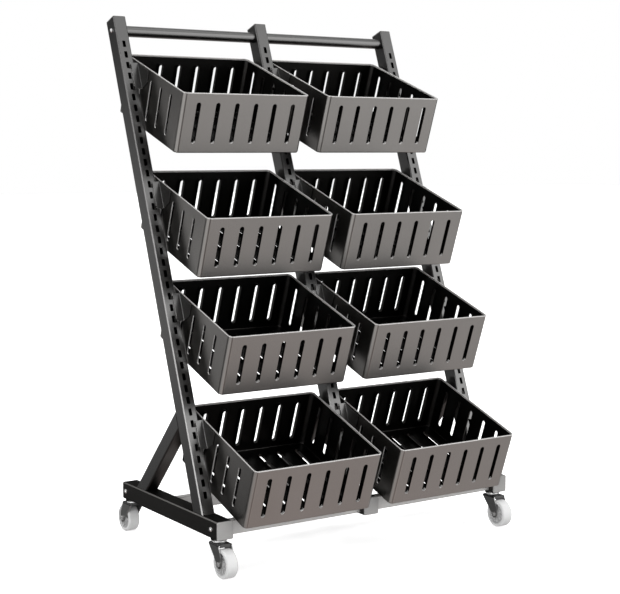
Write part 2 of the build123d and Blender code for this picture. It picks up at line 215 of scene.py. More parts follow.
# Finishes: how many features to the metre, shares of a colour, spreads of roughness and depths of relief
NOISE_MIDDLE = 0.5
PAINT_CLOUDS, PAINT_FLAKES, PAINT_PEEL = 5.0, 2600.0, 750.0
PAINT_SHARES = (0.9, 1.1, 1.9)  # dark clouds, light clouds and flakes
FLAKE_STOPS = ((0.55, 0.0), (0.75, 1.0))
FLAKE_COVER = 0.35
SHEEN_SPREAD = 0.08
PEEL_DEPTH, PEEL_STRENGTH = 0.05 * MM, 0.5
ZINC_PATCHES, ZINC_LINES = 120.0, 900.0
ZINC_SHARES = (0.85, 1.1)
ZINC_WARMTH = 0.01
ZINC_SPREAD = 0.2
ZINC_DEPTH, ZINC_STRENGTH = 0.03 * MM, 0.4
PLASTIC_CLOUDS, PLASTIC_SKIN = 14.0, 1500.0
PLASTIC_SHARES = (0.95, 1.05)
PLASTIC_SPREAD = 0.12
PLASTIC_STRENGTH = 0.5
CAP_TEXTURE = 0.03 * MM
WHEEL_TEXTURE = 0.02 * MM

# Camera of the photograph
IMAGE_WIDTH = 620
FOCAL_PIXELS = 1414.16
SENSOR = 36.0
CAMERA_PLACE = Vector((-2.3231, -3.4742, 1.1364))
CAMERA_YAW = radians(33.55)
CAMERA_DIP = radians(5.94)
VIEW_DEPTH = 200.0

# Studio: round soft panels in a dim room, each a direction, the degrees over which it fades, and a glow
ROOM_GLOW = 0.08
PANELS = {
    "low_front": ((0.60, -0.55, -0.58), 16, 34, 1.0),
    "front": ((0.57, -0.81, 0.10), 8, 36, 2.5),
    "high_front": ((0.50, -0.50, 0.70), 20, 40, 1.0),
    "below": ((0.0, -0.2, -1.0), 8, 34, 0.7),
    "low_left": ((-0.51, -0.51, -0.69), 10, 24, 0.75),
    "low_left_edge": ((-0.79, -0.38, -0.47), 4, 18, 0.55),
    "left": ((-0.87, -0.42, 0.05), 6, 44, 1.2),
    "left_edge": ((-0.875, -0.41, 0.21), 5, 16, 6.5),
    "left_back": ((-0.49, 0.86, -0.09), 2, 10, 1.1),
    "back_edge": ((-0.24, 0.86, 0.45), 5, 12, 2.2),
    "high_left_back": ((-0.38, 0.57, 0.73), 12, 30, 1.5),
    "overhead": ((0.0, -0.2, 1.0), 12, 38, 1.6),
    "high_back": ((0.55, 0.52, 0.66), 8, 20, 1.2),
    "low_back": ((0.60, 0.55, -0.50), 12, 30, 0.7),
}
WARM_SPAN = (0.54, 0.72)
WARM_BELOW = (0.94, 0.8, 0.76, 1.0)
FLOOR_SPAN = 30.0
FLOOR_ROUGHNESS = 0.9
FLOOR_PAPER, FLOOR_WHITE = 0.85, 0.6  # colour and glow of the floor where it is seen
FLOOR_SHADE, FLOOR_GLOW = 0.12, 0.5  # and where it only lights the rack
SOFTBOXES = {  # place, size and power
    "left_softbox": ((-2.6, -3.0, 2.9), (1.2, 1.6), 30.0),
    "right_softbox": ((1.65, -1.5, 3.4), (1.6, 1.2), 15.0),
    "overhead_softbox": ((0.6, 2.0, 3.2), (4.5, 1.6), 90.0),
}

record = frame["record"]
joints = {joint["name"]: joint for joint in frame["joints"]}
mounts = {mount["name"]: mount for mount in record["mounts"]}
SIDES = ("left", "right")
FRAMES = ("left", "middle", "right")
CASTERS = ("front_left", "front_right", "rear_left", "rear_right")
TIERS = (1, 2, 3, 4)


def axes(along):
    """Rotation whose Z goes along a direction in the YZ plane and whose X is the rack's."""
    z = Vector(along).normalized()
    x = Vector((1, 0, 0))
    return Matrix((x, z.cross(x), z)).transposed()


def outwards(way):
    """Rotation whose Z goes along the rack's X, one way or the other, and whose Y is the rack's."""
    return Matrix(((0, 0, way), (0, 1, 0), (-way, 0, 0)))


LEVEL = Matrix.Identity(3)
DEEP = axes((0, 1, 0))
SIDEWAYS = Matrix(((0, 0, 1), (1, 0, 0), (0, 1, 0)))  # its X, Y and Z go along the rack's Y, Z and X
LEAN = axes(joints["lift_left_1"]["axis"])
TILT = axes(mounts["basket_floor_left_1"]["axis"])


def span(points):
    """Lowest and highest corner of some points."""
    low = Vector([min(point[k] for point in points) for k in range(3)])
    high = Vector([max(point[k] for point in points) for k in range(3)])
    return low, high


def extent(node, turn):
    """Lowest and highest corner of a node, measured along turned axes."""
    back = turn.transposed()
    return span([back @ vertex.co for vertex in frame["nodes"][node].data.vertices])


# Shader expressions


class Value:
    """A shader socket that takes part in Python expressions: each operator adds one Math node."""

    def __init__(self, shading, socket):
        self.shading = shading
        self.socket = socket

    def math(self, operation, first, second):
        return self.shading.node("ShaderNodeMath", {"operation": operation}, {0: first, 1: second})

    def __add__(self, other):
        return self.math("ADD", self, other)

    def __radd__(self, other):
        return self.math("ADD", other, self)

    def __sub__(self, other):
        return self.math("SUBTRACT", self, other)

    def __rsub__(self, other):
        return self.math("SUBTRACT", other, self)

    def __mul__(self, other):
        return self.math("MULTIPLY", self, other)

    def __rmul__(self, other):
        return self.math("MULTIPLY", other, self)


class Shading:
    """A node tree and the one shader node in it that the rest feeds."""

    def __init__(self, owner, shader):
        owner.use_nodes = True
        self.tree = owner.node_tree
        self.shader = self.tree.nodes[shader]

    def node(self, kind, settings=None, inputs=None, output=0):
        """Add a node: its settings first, then its sockets' values or links. Returns one output."""
        made = self.tree.nodes.new(kind)
        for key, value in (settings or {}).items():
            if key == "stops":
                self.set_stops(made.color_ramp, value)
            else:
                setattr(made, key, value)
        for key, value in (inputs or {}).items():
            self.feed(made.inputs[key], value)
        return Value(self, made.outputs[output])

    def set_stops(self, ramp, stops):
        while len(ramp.elements) < len(stops):
            ramp.elements.new(1.0)
        for element, (place, level) in zip(ramp.elements, stops):
            element.position = place
            element.color = (level, level, level, 1.0)

    def feed(self, socket, value):
        if isinstance(value, Value):
            self.tree.links.new(value.socket, socket)
        else:
            socket.default_value = value

    def wire(self, **sockets):
        """Feed what changes over the surface to the shader."""
        for socket, value in sockets.items():
            self.feed(self.shader.inputs[socket.replace("_", " ")], value)

    def place(self):
        return self.node("ShaderNodeTexCoord", output="Object")

    def along(self, vector, direction):
        """How far a point or a direction lies along another."""
        inputs = {0: vector, 1: direction}
        return self.node("ShaderNodeVectorMath", {"operation": "DOT_PRODUCT"}, inputs, output="Value")

    def rise(self, value, start, end, low, high):
        """A smooth step from low to high."""
        settings = {"interpolation_type": "SMOOTHSTEP"}
        inputs = {"Value": value, "From Min": start, "From Max": end, "To Min": low, "To Max": high}
        return self.node("ShaderNodeMapRange", settings, inputs)

    def seen_directly(self):
        """1 where the view looks at the surface itself, 0 where it is seen in a reflection."""
        return self.node("ShaderNodeLightPath", output="Is Camera Ray")

    def noise(self, scale, detail):
        """Cloudy values about the middle, with this many features to the metre."""
        return self.node("ShaderNodeTexNoise", {}, {"Vector": self.place(), "Scale": scale, "Detail": detail})

    def ramp(self, value, *stops):
        return self.node("ShaderNodeValToRGB", {"stops": stops}, {"Fac": value})

    def mix(self, factor, first, second, beyond=False):
        """Blend of two colours, which may go beyond the second."""
        settings = {"data_type": "RGBA", "clamp_factor": not beyond}
        inputs = {"Factor": factor, 6: first, 7: second}
        return self.node("ShaderNodeMix", settings, inputs, output=2)

    def bump(self, height, depth, strength):
        return self.node("ShaderNodeBump", {}, {"Height": height, "Distance": depth, "Strength": strength})


class Finish(Shading):
    """One procedural material with a Principled shader; constants go on the shader's own sockets."""

    def __init__(self, name, **constants):
        self.material = bpy.data.materials.new(name)
        super().__init__(self.material, "Principled BSDF")
        for socket, value in constants.items():
            self.shader.inputs[socket.replace("_", " ")].default_value = value


def grey(level, warmth=0.0):
    """An almost neutral colour; warmth lifts the red and lowers the blue by that share."""
    return (level * (1 + warmth), level, level * (1 - warmth), 1.0)


def powder_coat(name, level, warmth, metal, sheen, grazing=1.0):
    """Baked powder paint: a fine orange peel, faint clouds and metallic flakes."""
    paint = Finish(name, Metallic=metal, Specular_Tint=grey(grazing))
    clouds = paint.noise(PAINT_CLOUDS, detail=3.0)
    flakes = paint.ramp(paint.noise(PAINT_FLAKES, detail=1.0), *FLAKE_STOPS)
    dark, light, glint = (grey(level * share, warmth) for share in PAINT_SHARES)
    body = paint.mix(clouds, dark, light)
    paint.wire(Base_Color=paint.mix(flakes * FLAKE_COVER, body, glint))
    paint.wire(Roughness=sheen + SHEEN_SPREAD * clouds - SHEEN_SPREAD * flakes)
    peel = paint.noise(PAINT_PEEL, detail=2.0)
    paint.wire(Normal=paint.bump(peel, PEEL_DEPTH, PEEL_STRENGTH))
    return paint.material


def zinc_plate(name, level, roughness, metal=1.0):
    """Bright zinc on pressed steel: soft patches and fine rolling lines."""
    plate = Finish(name, Metallic=metal)
    patches = plate.noise(ZINC_PATCHES, detail=3.0)
    lines = plate.noise(ZINC_LINES, detail=2.0)
    dull, bright = (level * share for share in ZINC_SHARES)
    plate.wire(Base_Color=plate.mix(patches, grey(dull, ZINC_WARMTH), grey(bright)))
    plate.wire(Roughness=roughness + ZINC_SPREAD * (lines - NOISE_MIDDLE))
    plate.wire(Normal=plate.bump(lines, ZINC_DEPTH, ZINC_STRENGTH))
    return plate.material


def moulded(name, level, warmth, roughness, texture):
    """Moulded plastic with a spark-eroded skin."""
    plastic = Finish(name)
    clouds = plastic.noise(PLASTIC_CLOUDS, detail=3.0)
    skin = plastic.noise(PLASTIC_SKIN, detail=2.0)
    dark, light = (grey(level * share, warmth) for share in PLASTIC_SHARES)
    plastic.wire(Base_Color=plastic.mix(clouds, dark, light))
    plastic.wire(Roughness=roughness + PLASTIC_SPREAD * (skin - NOISE_MIDDLE))
    plastic.wire(Normal=plastic.bump(skin, texture, PLASTIC_STRENGTH))
    return plastic.material


FRAME_PAINT = [powder_coat("frame_powder_coat", level=0.12, warmth=0.01, metal=1.0, sheen=0.28)]
# Painted shade: a darker copy of the frame paint with duller reflections, for the base tubes and casters' necks
# low under the baskets
BASE_SHADED_PAINT = [powder_coat("base_painted_shade_coat", level=0.08, warmth=0.03, metal=1.0, sheen=0.3, grazing=0.4)]
BASKET_OUTSIDE = powder_coat("basket_powder_coat", level=0.19, warmth=0.04, metal=1.0, sheen=0.28)
# Painted shade: the basket paint made nearly black for the insides, dark lips, cut edges, bracket blades and plate
# edges, where shade falls
BASKET_PAINTED_SHADE = powder_coat("basket_painted_shade_coat", level=0.022, warmth=0.04, metal=1.0, sheen=0.34)
# Painted highlight: a much lighter, less metallic copy of the paint for the hems, light lips and bracket flange
# edges, where edges catch the light
BASKET_PAINTED_HIGHLIGHT = powder_coat("basket_edge_painted_highlight", level=0.44, warmth=0.02, metal=0.4, sheen=0.4)
# Painted highlight: a lighter copy of the basket paint on the fronts of the folds, for the light that the corners
# catch
BASKET_BEND_HIGHLIGHT = powder_coat("basket_bend_painted_highlight", level=0.24, warmth=0.04, metal=1.0, sheen=0.28)
# Painted shade and highlight: the backs of the folds, dark like the inside but lighter, as light lines along the
# inner folds
BASKET_FOLD_SHADE_AND_HIGHLIGHT = powder_coat("basket_fold_shade_and_highlight", level=0.07, warmth=0.04, metal=1.0, sheen=0.34)
# Walls, dark lips, light lips and folds, each followed by its back and its cut edge. Backs, dark lips and most cut
# edges take painted shade, light lips painted highlight, folds painted highlight in front and lighter painted
# shade behind
BASKET_PAINT = [BASKET_OUTSIDE] + [BASKET_PAINTED_SHADE] * 3 + [BASKET_PAINTED_HIGHLIGHT] * 3
BASKET_PAINT += [BASKET_BEND_HIGHLIGHT, BASKET_FOLD_SHADE_AND_HIGHLIGHT, BASKET_PAINTED_SHADE]
# Painted light: a lighter copy of the frame paint for the bracket plates; flanges keep the frame paint, with
# painted highlight on flange edges and painted shade on plate edges
BRACKET_PLATE_LIGHT = powder_coat("bracket_plate_painted_light", level=0.22, warmth=0.02, metal=1.0, sheen=0.3)
BRACKET_PAINT = FRAME_PAINT * 2 + [BASKET_PAINTED_HIGHLIGHT] + [BRACKET_PLATE_LIGHT] * 2 + [BASKET_PAINTED_SHADE]
# Painted light: a much lighter, less metallic copy of the frame paint for the beams, for the light that their low
# front faces catch
BEAM_LIT_PAINT = [powder_coat("beam_painted_light_coat", level=0.42, warmth=0.02, metal=0.2, sheen=0.42)]
CAP_PLASTIC = [moulded("cap_moulding", level=0.09, warmth=0.02, roughness=0.5, texture=CAP_TEXTURE)]
# Painted light: the end caps' moulding made lighter than the top caps', for the light that low front faces catch
BASE_CAP_LIT_PLASTIC = [moulded("base_cap_painted_light_moulding", level=0.3, warmth=0.02, roughness=0.5, texture=CAP_TEXTURE)]
BOLT_STEEL = [zinc_plate("bolt_zinc", level=0.75, roughness=0.28)]
RACE_ZINC = [zinc_plate("race_zinc", level=0.8, roughness=0.35, metal=0.3)]
FORK_ZINC = [zinc_plate("fork_zinc", level=0.3, roughness=0.34)] * 3
# Painted shade: the crowns take a much darker zinc than the legs, for the shade under the base tubes
FORK_ZINC += [zinc_plate("crown_painted_shade_zinc", level=0.06, roughness=0.4)] * 3
TREAD_RUBBER = [moulded("tread_rubber", level=0.66, warmth=0.0, roughness=0.5, texture=WHEEL_TEXTURE)]
CORE_PLASTIC = [moulded("wheel_core_moulding", level=0.46, warmth=0.0, roughness=0.4, texture=WHEEL_TEXTURE)]


# Mesh building


def even_normals(mesh):
    """Keep flat faces flat to the light, and let only the bends between them turn smoothly."""
    ways = [face.normal.copy() for face in mesh.polygons]
    areas = [face.area for face in mesh.polygons]
    around = [[] for _ in mesh.vertices]
    for face in mesh.polygons:
        for vertex in face.vertices:
            around[vertex].append(face.index)
    normals = []
    for face in mesh.polygons:
        for vertex in face.vertices:
            planes = []
            for other in around[vertex]:
                if ways[other].dot(ways[face.index]) < ONE_SURFACE:
                    continue
                for plane in planes:
                    if plane[0].dot(ways[other]) > ONE_PLANE:
                        plane[1] += areas[other]
                        break
                else:
                    planes.append([ways[other], areas[other]])
            least = MINOR_SHARE * max((area for _, area in planes), default=0.0)
            blend = sum((way * area for way, area in planes if area >= least), Vector())
            normals.append(blend.normalized() if blend.length else ways[face.index])
    mesh.normals_split_custom_set(normals)


class Skin:
    """A mesh under construction in turned axes, joined at equal points."""

    def __init__(self, turn=LEVEL):
        self.turn = turn
        self.mesh = bmesh.new()

    def ring(self, points):
        return [self.mesh.verts.new(Vector(point)) for point in points]

    def quads(self, low, high, closed=True, skip=()):
        """Faces between two rings of as many points."""
        count = len(low)
        made = []
        for i in range(count if closed else count - 1):
            j = (i + 1) % count
            if i not in skip:
                made.append(self.mesh.faces.new((low[i], low[j], high[j], high[i])))
        return made

    def stack(self, rings):
        """A wall through rings of points, one above the other."""
        made = [self.ring(points) for points in rings]
        for low, high in zip(made, made[1:]):
            self.quads(low, high)
        return made

    def solid(self, rings):
        """A stack with a lid on each end."""
        made = self.stack(rings)
        self.mesh.faces.new(made[-1])
        self.mesh.faces.new(made[0][::-1])

    def plate(self, ring, holes, facing, lip=0.0, finish=DARK_LIP, sill=DARK_LIP):
        """A flat face inside a ring of points, looking one way, with holes that may have turned-in lips.

        A hole's points start with its upper end. The lip of its lower end has the sill's finish.
        """
        edges = []
        loops = [ring] + [self.ring(points) for points in holes]
        for loop in loops:
            for a, b in zip(loop, loop[1:] + loop[:1]):
                edges.append(self.mesh.edges.get((a, b)) or self.mesh.edges.new((a, b)))
        filled = bmesh.ops.triangle_fill(self.mesh, edges=edges, use_beauty=True, use_dissolve=False)
        faces = [face for face in filled["geom"] if isinstance(face, bmesh.types.BMFace)]
        for face in faces:
            face.normal_update()
            if face.normal.dot(Vector(facing)) < 0:
                face.normal_flip()
        for loop in loops[1:] if lip else ():
            turned_in = self.ring([point.co - Vector(facing) * lip for point in loop])
            for k, face in enumerate(self.quads(loop, turned_in)):
                face.material_index = sill if len(loop) // 2 <= k < len(loop) - 1 else finish
        return faces

    def turn_out(self):
        """Turn the faces of a closed form outwards."""
        bmesh.ops.recalc_face_normals(self.mesh, faces=self.mesh.faces)

    def face_outwards(self, way):
        """Turn all faces of an open form alike, so that the flat ones across a direction look along it."""
        bmesh.ops.remove_doubles(self.mesh, verts=self.mesh.verts, dist=SAME_POINT)
        self.turn_out()
        probe = max(self.mesh.faces, key=lambda face: abs(face.normal.dot(Vector(way))) * face.calc_area())
        if probe.normal.dot(Vector(way)) < 0:
            bmesh.ops.reverse_faces(self.mesh, faces=self.mesh.faces)

    def done(self, name, finishes, thickness=0.0, edge=0.0):
        """The finished mesh, given its sheet thickness and its eased edges, in the frame's axes.

        The back and the cut edges of a sheet have the finishes that come after that of its front.
        """
        bmesh.ops.remove_doubles(self.mesh, verts=self.mesh.verts, dist=SAME_POINT)
        self.mesh.transform(self.turn.to_4x4())
        rough = bpy.data.meshes.new(name)
        self.mesh.to_mesh(rough)
        self.mesh.free()
        rough.shade_smooth()
        for finish in finishes:
            rough.materials.append(finish)
        piece = bpy.data.objects.new(name, rough)
        bpy.context.scene.collection.objects.link(piece)
        if thickness:
            solid = piece.modifiers.new("sheet", "SOLIDIFY")
            solid.thickness = thickness
            solid.use_even_offset = True
            solid.material_offset = BACK
            solid.material_offset_rim = CUT_EDGE
        if edge:
            eased = piece.modifiers.new("eased", "BEVEL")
            eased.width = edge
            eased.segments = EASED_STEPS
            eased.limit_method = "ANGLE"
            eased.angle_limit = EASED_ANGLE
            eased.use_clamp_overlap = True
        bpy.context.view_layer.update()
        seen = piece.evaluated_get(bpy.context.evaluated_depsgraph_get())
        finished = bpy.data.meshes.new_from_object(seen)
        finished.name = name
        bpy.data.objects.remove(piece)
        even_normals(finished)
        return finished


def joined(name, meshes):
    """One mesh from several, kept with their own normals."""
    pieces = [bpy.data.objects.new(f"{name}_{k}", mesh) for k, mesh in enumerate(meshes)]
    for piece in pieces:
        bpy.context.scene.collection.objects.link(piece)
    with bpy.context.temp_override(active_object=pieces[0], selected_editable_objects=pieces):
        bpy.ops.object.join()
    whole = pieces[0].data
    whole.name = name
    bpy.data.objects.remove(pieces[0])
    return whole


def show(name, mesh, body, slot, *nodes):
    """Put a finished mesh in the scene as a piece of a body, in place of the nodes that it stands for."""
    piece = bpy.data.objects.new(name, mesh)
    bpy.context.scene.collection.objects.link(piece)
    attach(piece, body)
    if nodes:
        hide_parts(*nodes)


def arc(centre, radius, start, sweep, steps):
    """Points along an arc in a plane, angles in degrees; steps is a count, or the shares of the sweep."""
    shares = [k / steps for k in range(steps + 1)] if isinstance(steps, int) else steps
    angles = [radians(start + sweep * share) for share in shares]
    return [(centre[0] + radius * cos(a), centre[1] + radius * sin(a)) for a in angles]


def circle(radius, steps):
    """Points round a circle about the origin."""
    return arc((0, 0), radius, 0, 360, steps)[:-1]


def rounded_box(low, high, radius, steps=CORNER_STEPS):
    """Points round a rectangle with rounded corners, anticlockwise, starting at the lower left arc."""
    (left, front), (right, back) = low, high
    corners = (
        ((left + radius, front + radius), 180),
        ((right - radius, front + radius), 270),
        ((right - radius, back - radius), 0),
        ((left + radius, back - radius), 90),
    )
    return [point for centre, start in corners for point in arc(centre, radius, start, 90, steps)]


def long_hole(middle, half_width, low, high):
    """Points round a slot with half-round ends, along the second axis."""
    top = arc((middle, high - half_width), half_width, 0, 180, HOLE_STEPS)
    bottom = arc((middle, low + half_width), half_width, 180, 180, HOLE_STEPS)
    return top + bottom


def row(count, pitch, middle):
    """Places at an even pitch about a middle."""
    return [middle + (k - (count - 1) / 2) * pitch for k in range(count)]


def box_tube(name, finishes, turn, low, high, ends, radius, wall, slots=()):
    """A box tube along the turned Z between two planes, each a point and a normal in the turned axes."""
    skin = Skin(turn)
    section = rounded_box(low, high, radius, ROLLED_CORNER)

    def cut(plane):
        point, normal = (Vector(v) for v in plane)
        places = []
        for x, y in section:
            z = (normal.dot(point) - normal.x * x - normal.y * y) / normal.z
            places.append((x, y, z))
        return skin.ring(places)

    foot, head = cut(ends[0]), cut(ends[1])
    front = len(section) // 4 - 1
    if slots:
        skin.quads(foot, head, skip=(front,))
        ring = [foot[front], foot[front + 1], head[front + 1], head[front]]
        skin.plate(ring, slots, (0, -1, 0))
    else:
        skin.quads(foot, head)
    return skin.done(name, finishes, wall, TUBE_EDGE)


def cap(name, finishes, turn, low, high, radius, base, top):
    """A moulded cap: a rounded block whose upper edge rolls over to a slightly crowned top."""
    rings = [[(x, y, base) for x, y in rounded_box(low, high, radius)]]
    for k in range(CAP_EDGE_STEPS + 1):
        angle = radians(90 * k / CAP_EDGE_STEPS)
        inset = CAP_EDGE * (1 - cos(angle))
        level = top - CAP_CROWN - CAP_EDGE * (1 - sin(angle))
        corners = (low[0] + inset, low[1] + inset), (high[0] - inset, high[1] - inset)
        outline = rounded_box(*corners, max(radius - inset, CAP_CORNER))
        rings.append([(x, y, level) for x, y in outline])
    middle_x, middle_y = ((start + end) / 2 for start, end in zip(low, high))
    crown = []
    for x, y, _ in rings[-1]:
        crown.append((middle_x + (x - middle_x) * CAP_FLAT, middle_y + (y - middle_y) * CAP_FLAT, top))
    skin = Skin(turn)
    skin.solid(rings + [crown])
    return skin.done(name, finishes)


def turned(name, finishes, profile, place, turn=LEVEL, steps=ROUND_STEPS, edge=0.0, bored=False):
    """A turned piece: a profile of radius and height, spun about a turned Z at a place, solid or bored."""
    rings = []
    for radius, height in profile:
        rings.append([place + turn @ Vector((x, y, height)) for x, y in circle(radius, steps)])
    skin = Skin()
    if bored:
        made = skin.stack(rings)
        skin.quads(made[-1], made[0])
    else:
        skin.solid(rings)
    return skin.done(name, finishes, edge=edge)


def hex_nut(name, place, turn, across, height):
    """A six-sided nut with a chamfered face and the end of its bolt."""
    corner = across / 2 / cos(pi / NUT_SIDES)
    profile = [(corner * share, height * level) for share, level in NUT_PROFILE]
    return turned(name, BOLT_STEEL, profile, place, turn, NUT_SIDES, NUT_EDGE)


# Frame of tubes


def upright(name):
    """A leaning upright with its hook slots. Returns the cap on its head."""
    node = f"upright_{name}"
    low, high = extent(node, LEAN)
    up = LEAN.transposed() @ Vector((0, 0, 1))
    foot = (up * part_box(node)[0].z, up)
    head = ((0, 0, high.z), (0, 0, 1))
    middle = (low.x + high.x) / 2
    slots = []
    for k in range(SLOT_COUNT):
        level = high.z - SLOT_MARGIN - k * SLOT_PITCH
        start = middle - SLOT_WIDTH / 2, level - SLOT_HEIGHT / 2
        end = middle + SLOT_WIDTH / 2, level + SLOT_HEIGHT / 2
        slots.append([(x, low.y, z) for x, z in rounded_box(start, end, SLOT_CORNER, SLOT_CORNER_STEPS)])
    mesh = box_tube(node, FRAME_PAINT, LEAN, low.xy, high.xy, (foot, head), TUBE_CORNER, TUBE_WALL, slots)
    show(f"{node}_tube", mesh, "frame", "frame_paint", node)
    top = extent("upright_caps", LEAN)[1].z
    return cap(f"{node}_cap", CAP_PLASTIC, LEAN, low.xy, high.xy, TUBE_CORNER, high.z, top)


def brace(name):
    """A sloping tube, cut level at its foot and along the back of the upright at its head."""
    node = f"brace_{name}"
    turn = axes((0, -cos(BRACE_SLOPE), sin(BRACE_SLOPE)))
    low, high = extent(node, turn)
    up = turn.transposed() @ Vector((0, 0, 1))
    back = turn.transposed() @ LEAN.col[1]
    upright_back = back * extent(f"upright_{name}", LEAN)[1].y
    ends = (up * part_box(node)[0].z, up), (upright_back, back)
    mesh = box_tube(node, FRAME_PAINT, turn, low.xy, high.xy, ends, TUBE_CORNER, TUBE_WALL)
    show(f"{node}_tube", mesh, "frame", "frame_paint", node)


def level_tube(node, finishes, turn, radius, wall):
    """A level box tube over a node's whole box."""
    back = turn.transposed()
    low, high = span([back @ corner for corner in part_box(node)])
    ends = ((0, 0, low.z), (0, 0, 1)), ((0, 0, high.z), (0, 0, 1))
    mesh = box_tube(node, finishes, turn, low.xy, high.xy, ends, radius, wall)
    show(f"{node}_tube", mesh, "frame", "frame_paint", node)


def base_caps():
    """The caps on both ends of the base tubes."""
    low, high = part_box("base_caps")
    meshes = []
    for name in FRAMES:
        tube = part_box(f"base_tube_{name}")
        for way, at, outer in ((-1, tube[0].y, low.y), (1, tube[1].y, high.y)):
            turn = axes((0, way, 0))
            back = turn.transposed()
            start, end = span([back @ corner for corner in tube])
            section = start.xy, end.xy, TUBE_CORNER
            meshes.append(cap(f"base_cap_{name}", BASE_CAP_LIT_PLASTIC, turn, *section, way * at, way * outer))
    show("base_end_caps", joined("base_end_caps", meshes), "frame", "cap_plastic", "base_caps")


def top_tube(name):
    """A round tube between the heads of two uprights."""
    node = f"top_tube_{name}"
    low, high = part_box(node)
    middle = (low + high) / 2
    section = circle((high.z - low.z) / 2, PIPE_STEPS)
    skin = Skin()
    skin.stack([[(x, middle.y + y, middle.z + z) for y, z in section] for x in (low.x, high.x)])
    mesh = skin.done(node, FRAME_PAINT, PIPE_WALL, PIPE_EDGE)
    show(f"{node}_pipe", mesh, "frame", "frame_paint", node)


def button_bolt(name, place, way, radius, height):
    """A button head with a six-sided socket, facing along X."""
    profile = []
    for k in range(BUTTON_STEPS + 1):
        angle = BUTTON_ROLL * k / BUTTON_STEPS
        reach = radius * (BUTTON_FLAT + (1 - BUTTON_FLAT) * cos(angle))
        profile.append((reach, height * sin(angle) / sin(BUTTON_ROLL), False))
    socket = radius * BUTTON_SOCKET
    profile += [(socket, height * SOCKET_MOUTH, True), (socket, height * SOCKET_BOTTOM, True)]
    turn = outwards(way)
    half_side = pi / NUT_SIDES
    rings = []
    for size, level, six_sided in profile:
        ring = []
        for k in range(SMALL_STEPS):
            angle = 2 * pi * k / SMALL_STEPS
            reach = size
            if six_sided:
                reach = size * cos(half_side) / cos((angle + half_side) % (2 * half_side) - half_side)
            ring.append(place + turn @ Vector((reach * cos(angle), reach * sin(angle), level)))
        rings.append(ring)
    skin = Skin()
    skin.solid(rings)
    return skin.done(name, BOLT_STEEL)


def bolts(node):
    """The heads of a pair of cross bolts, one on each side of the rack."""
    low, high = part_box(node)
    middle = (low + high) / 2
    radius = min(high.y - low.y, high.z - low.z) / 2
    meshes = []
    for way, outer in ((-1, low.x), (1, high.x)):
        place = Vector((outer - way * BOLT_HEAD, middle.y, middle.z))
        meshes.append(button_bolt(node, place, way, radius, BOLT_HEAD))
    show(f"{node}_heads", joined(node, meshes), "frame", "bolt_steel", node)


# Baskets


def basket_outline(low, high):
    """Points round a basket, each with its way outwards: two rounded folds to every corner."""
    cut = CORNER_CUT
    corners = (
        (low.x + cut, low.y), (high.x - cut, low.y), (high.x, low.y + cut), (high.x, high.y - cut),
        (high.x - cut, high.y), (low.x + cut, high.y), (low.x, high.y - cut), (low.x, low.y + cut),
    )
    half_turn = radians(FOLD_TURN / 2)
    reach = FOLD_RADIUS * tan(half_turn)
    outline = []
    for k, corner in enumerate(corners):
        corner = Vector(corner)
        before = (Vector(corners[k - 1]) - corner).normalized()
        after = (Vector(corners[(k + 1) % len(corners)]) - corner).normalized()
        centre = corner + (before + after).normalized() * (FOLD_RADIUS / cos(half_turn))
        first = corner + before * reach - centre
        start = degrees(-Vector((1, 0)).angle_signed(first))
        for x, y in arc(centre, FOLD_RADIUS, start, FOLD_TURN, FOLD_STEPS):
            outline.append((x, y, (Vector((x, y)) - centre).normalized()))
    return outline


def basket_sheet(node, low, high, places):
    """The folded sheet under the hem. places gives the points of its outline at a level, some way in."""
    skin = Skin(TILT)
    rings = [skin.ring(places(high.z - SHEET)), skin.ring(places(low.z + FLOOR_FOLD))]
    for k in range(1, FLOOR_FOLD_STEPS + 1):
        angle = radians(90 * k / FLOOR_FOLD_STEPS)
        level = low.z + FLOOR_FOLD * (1 - sin(angle))
        rings.append(skin.ring(places(level, FLOOR_FOLD * (1 - cos(angle)))))
    top, bottom = rings[:2]
    middle_x, middle_y = (low.x + high.x) / 2, (low.y + high.y) / 2
    half = VENT_WIDTH / 2
    vent_top = high.z - VENT_MARGIN
    vent_low = vent_top - VENT_LENGTH
    columns = row(FRONT_VENTS, VENT_PITCH, middle_x)
    side_columns = row(SIDE_VENTS, VENT_PITCH, middle_y + SIDE_VENT_SHIFT)
    across = [long_hole(x, half, vent_low, vent_top) for x in columns]
    along = [long_hole(y, half, vent_low, vent_top) for y in side_columns]
    walls = (
        ((0, -1, 0), [[(x, low.y, z) for x, z in hole] for hole in across], FRONT_LIP),
        ((1, 0, 0), [[(high.x, y, z) for y, z in hole] for hole in along], RIGHT_LIP),
        ((0, 1, 0), [[(x, high.y, z) for x, z in hole] for hole in across], REAR_LIP),
        ((-1, 0, 0), [[(low.x, y, z) for y, z in hole] for hole in along], LEFT_LIP),
    )
    starts = [FOLD_STEPS + 2 * k * (FOLD_STEPS + 1) for k in range(len(walls))]
    folds = skin.quads(bottom, top, skip=starts)
    for index, (facing, holes, lip) in zip(starts, walls):
        after = (index + 1) % len(top)
        skin.plate([bottom[index], bottom[after], top[after], top[index]], holes, facing, *lip)
    for upper, lower in zip(rings[1:], rings[2:]):
        folds += skin.quads(lower, upper)
    # The folds take a painted highlight in front and lighter painted shade behind
    for face in folds:
        face.material_index = FOLD
    front, back = middle_y - FLOOR_VENT_LENGTH / 2, middle_y + FLOOR_VENT_LENGTH / 2
    floor_holes = []
    for column in columns:
        floor_holes.append([(x, y, low.z) for x, y in long_hole(column, half, front, back)])
    skin.plate(rings[-1], floor_holes, (0, 0, -1), *FLOOR_LIP)
    skin.face_outwards((0, 0, -1))
    return skin.done(node, BASKET_PAINT, SHEET, SHEET_EDGE)


